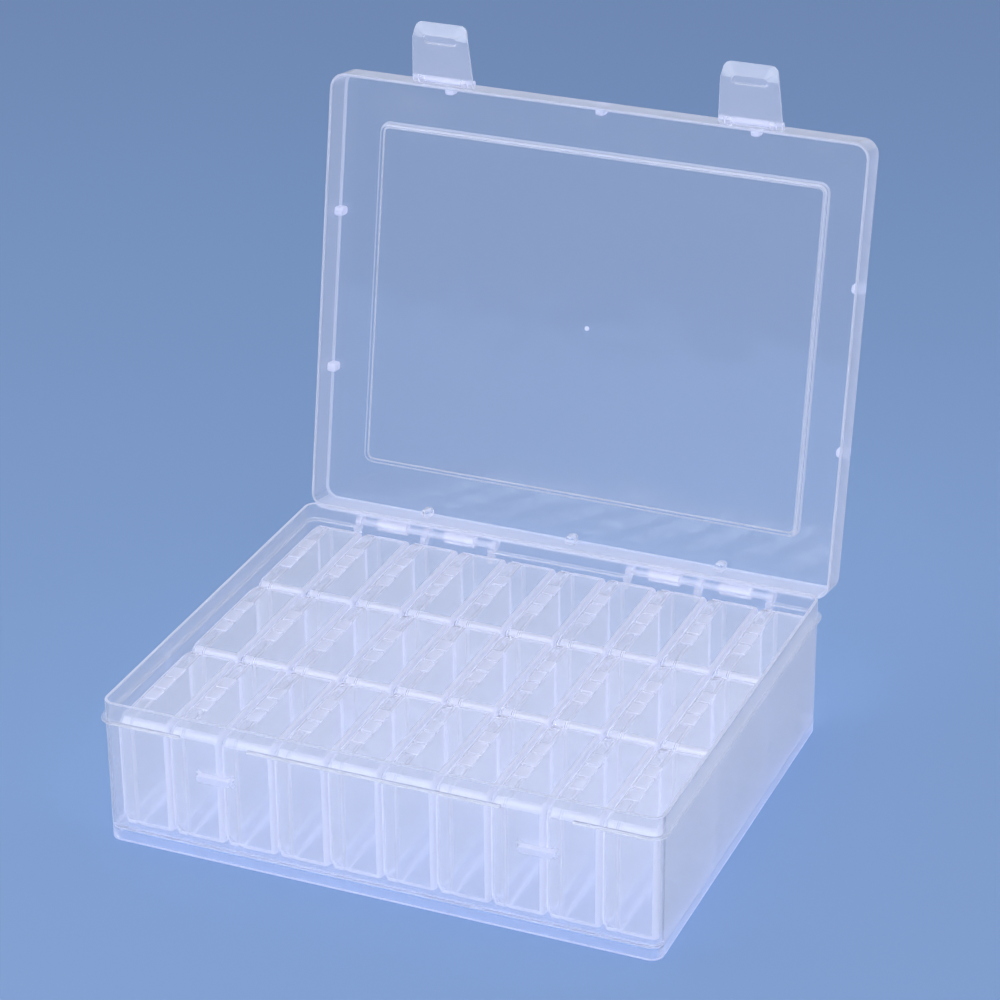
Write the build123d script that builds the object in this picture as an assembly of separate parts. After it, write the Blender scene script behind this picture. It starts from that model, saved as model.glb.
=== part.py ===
from build123d import *
import math
import os

# Bead storage box: a shallow outer case with a hinged lid and two front latches, holding three
# rows of small flip boxes that stand on their hinge edges, lids to the left. Millimetres.
# Origin: centre of the case's underside. +X right, -Y front, +Z up. The lid is drawn open.

# Outer case, lower half
CASE_W = 270.0
CASE_D = 218.0
RIM_Z = 72.5
WALL = 1.4
CASE_R = 5.8
FLOOR_TOP = 7.0
FLOOR_T = 1.4
FOOT_W = 2.6
FOOT_BEVEL = 0.8

# Ledge that the lid's free edge stops above
LEDGE_DROP = 9.1
LEDGE_T = 1.2
LEDGE_OUT = 2.0
LATCH_GAP_W = 33.5

# Lid
LID_CLEAR = 0.6
LID_EDGE_GAP = 0.3
LID_H = 17.0
LID_PLATE_T = 1.5
LID_ROUND = 2.2
LID_OPEN_DEG = 100.0
PANEL_MARGIN_SIDE = 23.8
PANEL_MARGIN_ENDS = 26.0
PANEL_DROP = 3.0
PANEL_R = 3.0
PAD_W = 4.5
PAD_INWARD = 4.4
PAD_GAP = 0.3
SIDE_PAD_SPREAD = 40.0
GATE_R = 1.2
GATE_H = 0.4

# Case hinge: a moulded rod between three ears at each zone, gripped by the lid's hooks
HINGE_BACK = 4.9
HINGE_UP = 0.1
HINGE_SPREAD = 72.5
HINGE_ZONE_W = 76.0
EAR_W = 3.0
EAR_DROP = 9.0
HEEL = 4.0
ROD_R = 1.5
ROD_CLEAR = 0.08
HINGE_GAP = 0.3
HOOK_W = 16.0
HOOK_MOUTH = 2.4
HOOK_ARM = 5.0

# Latches
LATCH_SPREAD = 78.0
LATCH_W_ROOT = 31.5
LATCH_W_BEND = 28.5
LATCH_W_TIP = 25.4
LATCH_TAB = 7.6
LATCH_TAB_DEG = 25.0
LATCH_TIP_R = 3.0
LATCH_T = 1.4
LATCH_AXIS_UP = 3.0
LATCH_REST_DEG = 73.0
LATCH_ROD_R = 1.0
LATCH_BARREL_T = 0.9
LATCH_GAP = 0.3
LATCH_EAR_W = 2.6
LATCH_EAR_SPREAD = 11.0

# Catch on the case front, and the pocket in the latch that takes it
CATCH_W = 16.6
CATCH_H = 3.4
CATCH_DROP = 22.1
BEND_PAST_CATCH = 0.7
CATCH_BITE = 0.9
CATCH_CORNER = 1.0
CATCH_BEVEL = 0.5
POCKET_CLEAR = 0.35
POCKET_SKIN = 0.9

# Small flip boxes
ROWS = ("front", "middle", "back")
COLUMNS = 10
BOX_GAP_X = 0.4
BOX_GAP_Y = 0.4
BOX_FLOAT = 0.3
LEFT_ROOM = 5.7
BACK_ROOM = 4.8
TOP_ROOM = 8.0
SIDE_EASE = 0.31
FRONT_EASE = 0.21
CAP_T = 7.6
BOX_WALL = 1.1
BOX_BEVEL = 2.1
TRAY_BEVEL = 1.4
KNUCKLE_R = 1.2
CAP_KNUCKLE_W = 22.0
TRAY_KNUCKLE_W = 9.0
KNUCKLE_GAP = 0.3
CLASP_W = 30.0
CLASP_RISE = 1.0
CLASP_OVER = 1.6
CLASP_IN = 5.6

# The last boxes of the back row are written as one file each, tray and cap as two solids
WHOLE_FROM = 7

# Places that follow from the sizes above
LEDGE_TOP = RIM_Z - LEDGE_DROP
HINGE_Y = CASE_D / 2 + HINGE_BACK
HINGE_Z = LEDGE_TOP + LID_EDGE_GAP + HINGE_UP
EDGE_Z = LEDGE_TOP + LID_EDGE_GAP
LID_TOP = EDGE_Z + LID_H
SKIRT_OUT = LID_CLEAR + WALL
LATCH_BARREL_R = LATCH_ROD_R + ROD_CLEAR + LATCH_BARREL_T
LATCH_Y = -CASE_D / 2 - SKIRT_OUT - LATCH_GAP - LATCH_BARREL_R
LATCH_Z = EDGE_Z + LATCH_AXIS_UP
CATCH_Z = LATCH_Z - CATCH_DROP
PLATE_IN_Y = LATCH_Y + LATCH_BARREL_R
LATCH_LEN = CATCH_DROP + BEND_PAST_CATCH

# The small boxes share the room in the case. Its round corners keep the outer ones off the walls.
CORNER_REACH = (CASE_R - WALL) * (1 - math.sqrt(0.5)) - TRAY_BEVEL / 2
SIDE_CLEAR = CORNER_REACH + SIDE_EASE
FRONT_CLEAR = CORNER_REACH + FRONT_EASE
ROW_ROOM = CASE_W - 2 * WALL - LEFT_ROOM - SIDE_CLEAR
DEPTH_ROOM = CASE_D - 2 * WALL - FRONT_CLEAR - BACK_ROOM
BOX_T = (ROW_ROOM + BOX_GAP_X) / COLUMNS - BOX_GAP_X
BOX_D = (DEPTH_ROOM + BOX_GAP_Y) / len(ROWS) - BOX_GAP_Y
BOX_H = RIM_Z - TOP_ROOM - FLOOR_TOP - BOX_FLOAT - KNUCKLE_R


def slab(width, depth, low, high, radius):
    """An upright block with rounded upright corners, centred on the origin."""
    return Pos(0, 0, low) * extrude(RectangleRounded(width, depth, radius), high - low)


def along_x(outline, x, width):
    """An outline drawn in Y and Z, given a width along X and centred at x."""
    return Pos(x, 0, 0) * extrude(Plane.YZ * outline, width / 2, both=True)


def rod(x, y, z, radius, length):
    return Pos(x, y, z) * Rot(0, 90, 0) * Cylinder(radius, length)


def turned(shape, y, z, degrees):
    """The shape turned about the line through (y, z) that runs along X."""
    return Pos(0, y, z) * Rot(degrees, 0, 0) * Pos(0, -y, -z) * shape


def ear_centres(x, width):
    """Where the three ears of a hinge zone stand: one at each end and one in the middle."""
    reach = (width - EAR_W) / 2
    return [x - reach, x, x + reach]


# Case


def case_shell():
    shell = slab(CASE_W, CASE_D, 0, RIM_Z, CASE_R)
    shell = chamfer(shell.edges().group_by(Axis.Z)[0], FOOT_BEVEL)
    inner_r = CASE_R - WALL
    shell -= slab(CASE_W - 2 * WALL, CASE_D - 2 * WALL, FLOOR_TOP, RIM_Z, inner_r)
    foot_r = CASE_R - FOOT_W
    shell -= slab(CASE_W - 2 * FOOT_W, CASE_D - 2 * FOOT_W, 0, FLOOR_TOP - FLOOR_T, foot_r)
    return shell


def ledge():
    """The ledge round the case, broken where the latches and the hinges pass."""
    low = LEDGE_TOP - LEDGE_T
    grow = 2 * LEDGE_OUT
    ring = slab(CASE_W + grow, CASE_D + grow, low, LEDGE_TOP, CASE_R + LEDGE_OUT)
    ring -= slab(CASE_W - WALL, CASE_D - WALL, low, LEDGE_TOP, CASE_R - WALL / 2)
    deep = 2 * (LEDGE_OUT + WALL)
    for side in (-1, 1):
        front = Pos(side * LATCH_SPREAD, -CASE_D / 2, LEDGE_TOP)
        ring -= front * Box(LATCH_GAP_W, deep, 3 * LEDGE_T)
        back = Pos(side * HINGE_SPREAD, CASE_D / 2, LEDGE_TOP)
        ring -= back * Box(HINGE_ZONE_W, deep, 3 * LEDGE_T)
    return ring


def ear_outline():
    """One hinge ear, seen from the side: an arm under the lid's edge, a round eye for the rod, and
    a heel whose slanted top stops the open lid."""
    eye_r = HINGE_BACK - SKIRT_OUT - HINGE_GAP
    wall_y = CASE_D / 2 - WALL / 2
    under_lid = EDGE_Z - HINGE_GAP
    eye = Pos(HINGE_Y, HINGE_Z) * RegularPolygon(eye_r, 8)
    foot = (wall_y, HINGE_Z - EAR_DROP)
    arm = Polygon((wall_y, under_lid), (HINGE_Y, under_lid), (HINGE_Y, HINGE_Z - eye_r), foot, align=None)
    lean = Rot(0, 0, 90 - LID_OPEN_DEG)
    heel = Pos(HINGE_Y, HINGE_Z) * lean * Polygon(
        (0, 0), (0, eye_r), (HEEL, eye_r), (HEEL, -eye_r / 3), (0, -eye_r), align=None
    )
    return eye + arm + heel


def case_hinges():
    parts = []
    for side in (-1, 1):
        x = side * HINGE_SPREAD
        parts += [along_x(ear_outline(), at, EAR_W) for at in ear_centres(x, HINGE_ZONE_W)]
        parts.append(rod(x, HINGE_Y, HINGE_Z, ROD_R, HINGE_ZONE_W - EAR_W))
    return parts


def catches():
    """The two bars on the front wall that the latches snap over."""
    root = -CASE_D / 2 + WALL / 2
    nose = PLATE_IN_Y - CATCH_BITE
    bars = []
    for side in (-1, 1):
        bar = Box(CATCH_W, root - nose, CATCH_H)
        bar = chamfer(bar.edges().filter_by(Axis.Y), CATCH_CORNER)
        bar = chamfer(bar.faces().sort_by(Axis.Y)[0].edges(), CATCH_BEVEL)
        bars.append(Pos(side * LATCH_SPREAD, (root + nose) / 2, CATCH_Z) * bar)
    return bars


def case():
    body = case_shell() + ledge()
    for piece in case_hinges() + catches():
        body += piece
    return body


# Lid, drawn closed and then turned open


def lid_shell():
    width = CASE_W + 2 * SKIRT_OUT
    depth = CASE_D + 2 * SKIRT_OUT
    radius = CASE_R + SKIRT_OUT
    shell = slab(width, depth, EDGE_Z, LID_TOP, radius)
    shell = fillet(shell.edges().group_by(Axis.Z)[-1], LID_ROUND)
    inside = LID_TOP - LID_PLATE_T
    hollow_w = width - 2 * WALL
    hollow_d = depth - 2 * WALL
    shell -= slab(hollow_w, hollow_d, EDGE_Z, inside, radius - WALL)
    panel_w = width - 2 * PANEL_MARGIN_SIDE
    panel_d = depth - 2 * PANEL_MARGIN_ENDS
    grow = 2 * LID_PLATE_T
    under = inside - PANEL_DROP
    shell += slab(panel_w + grow, panel_d + grow, under, inside, PANEL_R + LID_PLATE_T)
    shell -= slab(panel_w, panel_d, LID_TOP - PANEL_DROP, LID_TOP, PANEL_R)
    return shell + gate_mark()


def gate_mark():
    """The stub left in the middle of the panel where the plastic came in."""
    stub = extrude(RegularPolygon(GATE_R, 6), GATE_H + LID_PLATE_T / 2)
    return Pos(0, 0, LID_TOP - PANEL_DROP - LID_PLATE_T / 2) * stub


def rim_pads():
    """Small blocks in the corner of plate and skirt that rest on the case's rim when it is shut."""
    low = RIM_Z + PAD_GAP
    high = LID_TOP - LID_PLATE_T / 2
    tall = high - low
    reach = PAD_INWARD + WALL / 2
    edge_x = CASE_W / 2 + SKIRT_OUT - WALL / 2 - reach / 2
    edge_y = CASE_D / 2 + SKIRT_OUT - WALL / 2 - reach / 2
    ends = Box(PAD_W, reach, tall)
    sides = Box(reach, PAD_W, tall)
    middle = (low + high) / 2
    pads = []
    for end in (-1, 1):
        for x in (-LATCH_SPREAD, 0, LATCH_SPREAD):
            pads.append(Pos(x, end * edge_y, middle) * ends)
        for y in (-SIDE_PAD_SPREAD, SIDE_PAD_SPREAD):
            pads.append(Pos(end * edge_x, y, middle) * sides)
    return pads


def hook_outline():
    """A hinge hook of the lid, seen from the side: a ring round the rod with a mouth that snaps
    over it, and an arm to the skirt."""
    ring_r = HINGE_BACK - SKIRT_OUT
    skirt = -ring_r - WALL / 2
    arm = Polygon((skirt, 0), (0, 0), (0, ring_r), (-ring_r, HOOK_ARM), (skirt, HOOK_ARM), align=None)
    mouth = Rot(0, 0, -60) * Pos(ring_r / 2 + ROD_R / 2, 0) * Rectangle(ring_r, HOOK_MOUTH)
    ring = RegularPolygon(ring_r, 8)
    return Pos(HINGE_Y, HINGE_Z) * (ring + arm - Circle(ROD_R + ROD_CLEAR) - mouth)


def lid_hooks():
    hooks = []
    for side in (-1, 1):
        left, middle, right = ear_centres(side * HINGE_SPREAD, HINGE_ZONE_W)
        for x in ((left + middle) / 2, (middle + right) / 2):
            hooks.append(along_x(hook_outline(), x, HOOK_W))
    return hooks


def latch_ears(x):
    """Two ears on the skirt's face and the rod between them that a latch turns on."""
    skirt = -CASE_D / 2 - SKIRT_OUT + WALL / 2
    web = Polygon(
        (skirt, LATCH_Z - LATCH_ROD_R),
        (LATCH_Y, LATCH_Z - LATCH_ROD_R),
        (LATCH_Y, LATCH_Z + LATCH_ROD_R),
        (skirt, LATCH_Z + 2 * LATCH_ROD_R),
        align=None,
    )
    ear = web + Pos(LATCH_Y, LATCH_Z) * RegularPolygon(LATCH_BARREL_R - LATCH_GAP, 8)
    parts = [along_x(ear, x + side * LATCH_EAR_SPREAD, LATCH_EAR_W) for side in (-1, 1)]
    return parts + [rod(x, LATCH_Y, LATCH_Z, LATCH_ROD_R, 2 * LATCH_EAR_SPREAD)]


def lid_closed():
    body = lid_shell()
    for piece in rim_pads() + lid_hooks():
        body += piece
    for side in (-1, 1):
        for piece in latch_ears(side * LATCH_SPREAD):
            body += piece
    return body


def opened(shape):
    return turned(shape, HINGE_Y, HINGE_Z, -LID_OPEN_DEG)


# Latch, drawn shut against the case and then turned


def latch_profile():
    """The latch seen from the side, shut: barrel, straight plate, and a finger tab bent outward."""
    out_y = PLATE_IN_Y - LATCH_T
    bend_z = LATCH_Z - LATCH_LEN
    plate = Polygon((PLATE_IN_Y, LATCH_Z), (out_y, LATCH_Z), (out_y, bend_z), (PLATE_IN_Y, bend_z), align=None)
    tab = Pos(PLATE_IN_Y, bend_z) * Rot(0, 0, -LATCH_TAB_DEG) * Polygon(
        (0, 0), (-LATCH_T, 0), (-LATCH_T, -LATCH_TAB), (0, -LATCH_TAB), align=None
    )
    bend = Pos(PLATE_IN_Y, bend_z) * Polygon(
        (0, 0), (-LATCH_T, 0.6), (-LATCH_T * 1.05, -0.5), (0, -0.6), align=None
    )
    return plate + tab + bend + Pos(LATCH_Y, LATCH_Z) * RegularPolygon(LATCH_BARREL_R, 8)


def latch_face():
    """The latch seen from the front: narrower towards the tip, with rounded corners there."""
    bend_z = LATCH_Z - LATCH_LEN
    tip_z = bend_z - LATCH_TAB
    top_z = LATCH_Z + LATCH_BARREL_R
    root, bend, tip = LATCH_W_ROOT / 2, LATCH_W_BEND / 2, LATCH_W_TIP / 2
    face = Polygon(
        (-root, top_z), (-root, LATCH_Z), (-bend, bend_z), (-tip, tip_z),
        (tip, tip_z), (bend, bend_z), (root, LATCH_Z), (root, top_z),
        align=None,
    )
    return fillet(face.vertices().group_by(Axis.Y)[0], LATCH_TIP_R)


def pill(width, height, depth):
    """A block with half-round ends, its depth along Y."""
    return extrude(Plane.XZ * SlotOverall(width, height), depth / 2, both=True)


def latch_closed(x):
    """A latch over its catch. The pocket is pressed outward, so its back bulges on the front."""
    body = along_x(latch_profile(), 0, LATCH_W_ROOT)
    face = extrude(Plane.XZ * latch_face(), 30.0, both=True)
    body &= Pos(0, LATCH_Y, 0) * face
    grow = 2 * POCKET_SKIN
    pocket_w = CATCH_W + 2 * POCKET_CLEAR
    pocket_h = CATCH_H + 2 * POCKET_CLEAR
    floor_y = PLATE_IN_Y - CATCH_BITE - POCKET_CLEAR
    back_y = floor_y - POCKET_SKIN
    bulge = pill(pocket_w + grow, pocket_h + grow, PLATE_IN_Y - back_y)
    body += Pos(0, (PLATE_IN_Y + back_y) / 2, CATCH_Z) * bulge
    deep = 2 * (PLATE_IN_Y - floor_y)
    body -= Pos(0, PLATE_IN_Y, CATCH_Z) * pill(pocket_w, pocket_h, deep)
    body -= rod(0, LATCH_Y, LATCH_Z, LATCH_ROD_R + ROD_CLEAR, 2 * LATCH_EAR_SPREAD)
    room = LATCH_EAR_W + 2 * LATCH_GAP
    tall = 2 * (LATCH_BARREL_R + LATCH_GAP)
    for side in (-1, 1):
        body -= Pos(side * LATCH_EAR_SPREAD, LATCH_Y, LATCH_Z) * Box(room, tall, tall)
    return Pos(x, 0, 0) * body


def latch(x):
    return opened(turned(latch_closed(x), LATCH_Y, LATCH_Z, -LATCH_REST_DEG))


# Small flip box: x from 0 at the cap's face, z from 0 at the underside of the walls


def box_block(low, high, inset):
    """A block of the flip box's outline with its bevelled corners, from low to high across its
    thickness."""
    outline = Rectangle(BOX_D - 2 * inset, BOX_H - 2 * inset)
    outline = chamfer(outline.vertices(), BOX_BEVEL)
    return Pos(low, 0, BOX_H / 2) * extrude(Plane.YZ * outline, high - low)


def knuckle(y, width):
    return Pos(CAP_T, y, 0) * extrude(Plane.XZ * RegularPolygon(KNUCKLE_R, 6), width / 2, both=True)


def knuckle_room(y, width):
    side = 2 * (KNUCKLE_R + KNUCKLE_GAP)
    return Pos(CAP_T, y, 0) * Box(side, width + 2 * KNUCKLE_GAP, side)


def tray_knuckle_places():
    return [side * (CAP_KNUCKLE_W / 2 + KNUCKLE_GAP + TRAY_KNUCKLE_W / 2) for side in (-1, 1)]


def box_tray():
    tray = box_block(CAP_T, BOX_T, 0)
    tray = chamfer(tray.faces().sort_by(Axis.X)[-1].edges().filter_by(Axis.Z), TRAY_BEVEL)
    tray -= box_block(CAP_T, BOX_T - BOX_WALL, BOX_WALL)
    tray -= knuckle_room(0, CAP_KNUCKLE_W)
    for y in tray_knuckle_places():
        tray += knuckle(y, TRAY_KNUCKLE_W)
    return tray


def clasp():
    """The thumb clasp in the middle of the cap's top edge, reaching over the tray's lip."""
    low = BOX_H - BOX_WALL
    top = BOX_H + CLASP_RISE
    far = CAP_T + CLASP_OVER
    near = CAP_T - CLASP_IN
    hook = Polygon(
        (near, low), (CAP_T, low), (CAP_T, BOX_H), (far, BOX_H), (far, top), (near + CLASP_RISE, top),
        (near, BOX_H),
        align=None,
    )
    return extrude(Plane.XZ * hook, CLASP_W / 2, both=True)


def box_cap():
    cap = box_block(0, CAP_T, 0)
    cap -= box_block(BOX_WALL, CAP_T, BOX_WALL)
    for y in tray_knuckle_places():
        cap -= knuckle_room(y, TRAY_KNUCKLE_W)
    return cap + knuckle(0, CAP_KNUCKLE_W) + clasp()


def box_place(row, column):
    """Where a box stands: rows from the front wall back, columns packed against the right wall."""
    pitch = BOX_T + BOX_GAP_X
    right = CASE_W / 2 - WALL - SIDE_CLEAR
    x = right - (COLUMNS - column) * pitch + BOX_GAP_X
    y = -CASE_D / 2 + WALL + FRONT_CLEAR + BOX_D / 2 + row * (BOX_D + BOX_GAP_Y)
    return Pos(x, y, FLOOR_TOP + BOX_FLOAT + KNUCKLE_R)


def write(shape, node):
    export_step(shape, "parts/" + node + ".step")


def build():
    os.makedirs("parts", exist_ok=True)
    write(case(), "case_base")
    write(opened(lid_closed()), "case_lid")
    write(latch(-LATCH_SPREAD), "latch_left")
    write(latch(LATCH_SPREAD), "latch_right")
    tray = box_tray()
    cap = box_cap()
    for row, name in enumerate(ROWS):
        for column in range(COLUMNS):
            place = box_place(row, column)
            node = f"box_{name}_{column + 1}"
            if row == len(ROWS) - 1 and column + 1 >= WHOLE_FROM:
                write(Compound(children=[place * tray, place * cap]), node)
            else:
                write(place * tray, node + "_tray")
                write(place * cap, node + "_cap")


build()
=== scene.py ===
import math

import bmesh
import bpy
from mathutils import Matrix, Vector


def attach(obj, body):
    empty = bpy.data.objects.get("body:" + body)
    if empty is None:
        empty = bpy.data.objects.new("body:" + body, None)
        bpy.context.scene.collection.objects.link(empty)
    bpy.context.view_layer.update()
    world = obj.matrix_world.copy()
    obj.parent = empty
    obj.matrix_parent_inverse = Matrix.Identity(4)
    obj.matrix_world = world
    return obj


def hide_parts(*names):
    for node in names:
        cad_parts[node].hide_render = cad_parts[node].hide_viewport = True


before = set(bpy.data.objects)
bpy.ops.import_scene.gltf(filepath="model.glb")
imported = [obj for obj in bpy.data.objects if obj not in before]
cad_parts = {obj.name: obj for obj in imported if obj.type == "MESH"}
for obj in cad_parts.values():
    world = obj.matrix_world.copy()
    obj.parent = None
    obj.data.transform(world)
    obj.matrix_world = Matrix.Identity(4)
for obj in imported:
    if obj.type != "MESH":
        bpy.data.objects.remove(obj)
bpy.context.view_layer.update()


# Camera. It stands in front of the box, a little to its right and above it, far enough away for
# the long lens that keeps the case's sides almost parallel.

lens = bpy.data.cameras.new("camera")
lens.sensor_width = 36.0
lens.lens = 121.9
camera = bpy.data.objects.new("camera", lens)
camera.location = (0.5499, -1.2592, 0.8342)
camera.rotation_euler = [math.radians(turn) for turn in (63.472, 0.434, 22.776)]
bpy.context.scene.collection.objects.link(camera)
bpy.context.scene.camera = camera


# Studio. A plain blue floor that the clear plastic takes its colour from, a pale sky that the
# rounded edges mirror, and three large soft lamps: one above for the tops, one low in front and
# one low on the right for the upright walls.

FLOOR_REACH = 40.0
BOX_MIDDLE = (0, 0, 0.1)

floor_mesh = bmesh.new()
bmesh.ops.create_grid(floor_mesh, x_segments=1, y_segments=1, size=FLOOR_REACH)
floor_data = bpy.data.meshes.new("floor")
floor_mesh.to_mesh(floor_data)
floor_mesh.free()
floor = bpy.data.objects.new("floor", floor_data)
bpy.context.scene.collection.objects.link(floor)

paper = bpy.data.materials.new("blue_paper")
paper.use_nodes = True
paper_shader = paper.node_tree.nodes["Principled BSDF"]
paper_shader.inputs["Base Color"].default_value = (0.236, 0.352, 0.595, 1)
paper_shader.inputs["Roughness"].default_value = 0.9
paper_shader.inputs["Specular IOR Level"].default_value = 0.1
floor_data.materials.append(paper)

sky = bpy.data.worlds.new("sky")
bpy.context.scene.world = sky
sky.use_nodes = True
sky_light = sky.node_tree.nodes["Background"]
sky_light.inputs["Color"].default_value = (0.82, 0.90, 1.0, 1)
sky_light.inputs["Strength"].default_value = 0.58


def softbox(name, place, size, watts):
    """A rectangular soft lamp that faces the middle of the box."""
    lamp = bpy.data.lights.new(name, "AREA")
    lamp.shape = "RECTANGLE"
    lamp.size, lamp.size_y = size
    lamp.energy = watts
    lamp.color = (0.95, 0.975, 1.0)
    holder = bpy.data.objects.new(name, lamp)
    holder.location = place
    holder.rotation_euler = (Vector(BOX_MIDDLE) - Vector(place)).to_track_quat("-Z", "Y").to_euler()
    bpy.context.scene.collection.objects.link(holder)


softbox("softbox_top", (-0.15, -0.35, 1.5), (1.8, 1.4), 8.6)
softbox("softbox_front", (-0.5, -1.7, 0.7), (1.3, 0.8), 13)
softbox("softbox_right", (1.7, -0.35, 0.7), (1.0, 0.7), 6.3)

bpy.context.scene.view_settings.view_transform = "Standard"

# Light passes many thin clear walls one behind another, so rays may cross all of them.
bpy.context.scene.cycles.max_bounces = 48
bpy.context.scene.cycles.transmission_bounces = 48
bpy.context.scene.cycles.transparent_max_bounces = 64


# Case, lower half. One injection moulding in clear, slightly milky polypropylene: a floor raised
# inside a foot rim, upright walls, a thin ledge under the rim that is broken where the latches
# and hinges pass, and two catch bars on the front.

MM = 0.001
CASE_W, CASE_D, RIM_Z = 270 * MM, 218 * MM, 72.5 * MM
WALL = 1.4 * MM
CASE_R = 5.8 * MM
FLOOR_TOP, FLOOR_T = 7.0 * MM, 1.4 * MM
FOOT_W, FOOT_EDGE = 2.6 * MM, 1.0 * MM
LEDGE_TOP, LEDGE_T, LEDGE_OUT = 63.4 * MM, 1.2 * MM, 2.0 * MM
LATCH_SPREAD, LATCH_GAP_W = 78 * MM, 33.5 * MM
HINGE_SPREAD, HINGE_ZONE_W = 72.5 * MM, 76 * MM
CATCH_W, CATCH_H, CATCH_Z, CATCH_OUT = 16.6 * MM, 3.4 * MM, 44.6 * MM, 3.2 * MM
# The rim's top face, the rim's rounded edges and the foot's bottom edge are whitened to paint the bright
# highlight lines that light draws along them.
BAR_WHITE, LEDGE_WHITE, RIM_TOP_HIGHLIGHT, RIM_EDGE_HIGHLIGHT, FOOT_WHITE, FOOT_EDGE_HIGHLIGHT = 2.2, 0.3, 2.0, 1.8, 0.35, 2.2


def new_mesh():
    """An empty mesh whose faces carry how white the plastic is drawn there: milkier where it is thick, and
    painted highlight lines on rounded edges, rims and corners.
    """
    bm = bmesh.new()
    bm.faces.layers.float.new("milk_and_highlight")
    return bm


def outline(bm, width, depth, radius, height, steps=6):
    """A rounded rectangle, flat at one height. Gives back its edges."""
    before = set(bm.faces)
    corners = bmesh.ops.create_grid(bm, x_segments=1, y_segments=1, size=0.5)["verts"]
    bmesh.ops.scale(bm, vec=(width, depth, 1), verts=corners)
    bmesh.ops.translate(bm, vec=(0, 0, height), verts=corners)
    bmesh.ops.bevel(bm, geom=corners, affect="VERTICES", offset=radius, offset_type="OFFSET",
                    segments=steps, profile=0.5, material=-1)
    return list(next(f for f in bm.faces if f not in before).edges)


def refit(bm, edges, old, new):
    """Extrudes an outline and gives the copy new sizes: each round corner is scaled and moved as
    one. Gives back the edges of the copy."""
    made = bmesh.ops.extrude_edge_only(bm, edges=edges)["geom"]
    verts = [part for part in made if isinstance(part, bmesh.types.BMVert)]
    for x_side in (-1, 1):
        for y_side in (-1, 1):
            corner = [v for v in verts if v.co.x * x_side > 0 and v.co.y * y_side > 0]
            middle, new_middle = (
                Vector((x_side * (width / 2 - radius), y_side * (depth / 2 - radius), height))
                for width, depth, radius, height in (old, new))
            ratio = new[2] / old[2]
            bmesh.ops.scale(bm, vec=(ratio, ratio, 1), space=Matrix.Translation(-middle), verts=corner)
            bmesh.ops.translate(bm, vec=new_middle - middle, verts=corner)
    return [e for e in made if isinstance(e, bmesh.types.BMEdge) and all(v in verts for v in e.verts)]


def skin(bm, sizes, steps=6):
    """Runs a skin from the first outline to the last, closed at both. Gives back each outline's
    edges."""
    rings = [outline(bm, *sizes[0], steps)]
    for old, new in zip(sizes, sizes[1:]):
        rings.append(refit(bm, rings[-1], old, new))
    bmesh.ops.edgeloop_fill(bm, edges=rings[-1])
    return rings


def round_edges(bm, edges, radius, steps=3, white=1.0):
    """Rounds edges, and whitens the new faces by the amount given, which paints a highlight line along each
    rounded edge.
    """
    made = bmesh.ops.bevel(bm, geom=edges, affect="EDGES", offset=radius, offset_type="OFFSET",
                           segments=steps, profile=0.5, material=-1, clamp_overlap=True)["faces"]
    whiten(bm, made, white)


def whiten(bm, faces, amount):
    """Sets how milky faces look: thick, scratched or tightly curved plastic is whiter, and the same white
    paints the highlight lines and glow that light gives rounded edges, rims and corners.
    """
    edge_mark = bm.faces.layers.float.get("milk_and_highlight")
    for face in faces:
        face[edge_mark] = amount


def piece(bm, name, material, body, slot, *nodes):
    """Makes the finished mesh an object that rides on its body and stands for its CAD nodes."""
    bmesh.ops.recalc_face_normals(bm, faces=bm.faces)
    for face in bm.faces:
        face.smooth = True
    data = bpy.data.meshes.new(name)
    bm.to_mesh(data)
    bm.free()
    data.set_sharp_from_angle(angle=math.radians(40))
    data.materials.append(material)
    made = bpy.data.objects.new(name, data)
    bpy.context.scene.collection.objects.link(made)
    weights = made.modifiers.new("even_shading", "WEIGHTED_NORMAL")
    weights.keep_sharp = True
    weights.weight = 100
    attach(made, body)
    if nodes:
        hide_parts(*nodes)


def cut(bm, faces, planes):
    """Cuts faces along planes, each a point and a direction, and gives back the pieces."""
    for point, direction in planes:
        geom = set(faces)
        for face in faces:
            geom.update(face.edges, face.verts)
        halves = bmesh.ops.bisect_plane(bm, geom=list(geom), plane_co=point, plane_no=direction)
        faces = [part for part in halves["geom"] if isinstance(part, bmesh.types.BMFace)]
    return faces


def within(face, axis, low, high):
    """Whether the middle of a face lies between two places along an axis."""
    return low < face.calc_center_median()[axis] < high


# The moulded look that every piece shares: faint milky clouds in the colour, rub marks drawn out
# along one axis in the roughness, and a slow waviness with fine grain in the surface.
look = bpy.data.node_groups.new("moulded_clear_plastic", "ShaderNodeTree")
for name, kind in (("Milk", "NodeSocketColor"), ("Cloud", "NodeSocketColor"),
                   ("Roughness", "NodeSocketFloat")):
    look.interface.new_socket(name=name, in_out="INPUT", socket_type=kind)
for name, kind in (("Color", "NodeSocketColor"), ("Roughness", "NodeSocketFloat"),
                   ("Height", "NodeSocketFloat")):
    look.interface.new_socket(name=name, in_out="OUTPUT", socket_type=kind)
look_in = look.nodes.new("NodeGroupInput")
look_out = look.nodes.new("NodeGroupOutput")
look_place = look.nodes.new("ShaderNodeTexCoord")


def noise(scale, detail, stretch=None):
    """A noise on Object coordinates, drawn out along an axis where stretch says so."""
    texture = look.nodes.new("ShaderNodeTexNoise")
    texture.inputs["Scale"].default_value = scale
    texture.inputs["Detail"].default_value = detail
    place = look_place.outputs["Object"]
    if stretch:
        squeeze = look.nodes.new("ShaderNodeMapping")
        squeeze.inputs["Scale"].default_value = stretch
        look.links.new(place, squeeze.inputs["Vector"])
        place = squeeze.outputs["Vector"]
    look.links.new(place, texture.inputs["Vector"])
    return texture.outputs["Fac"]


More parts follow.
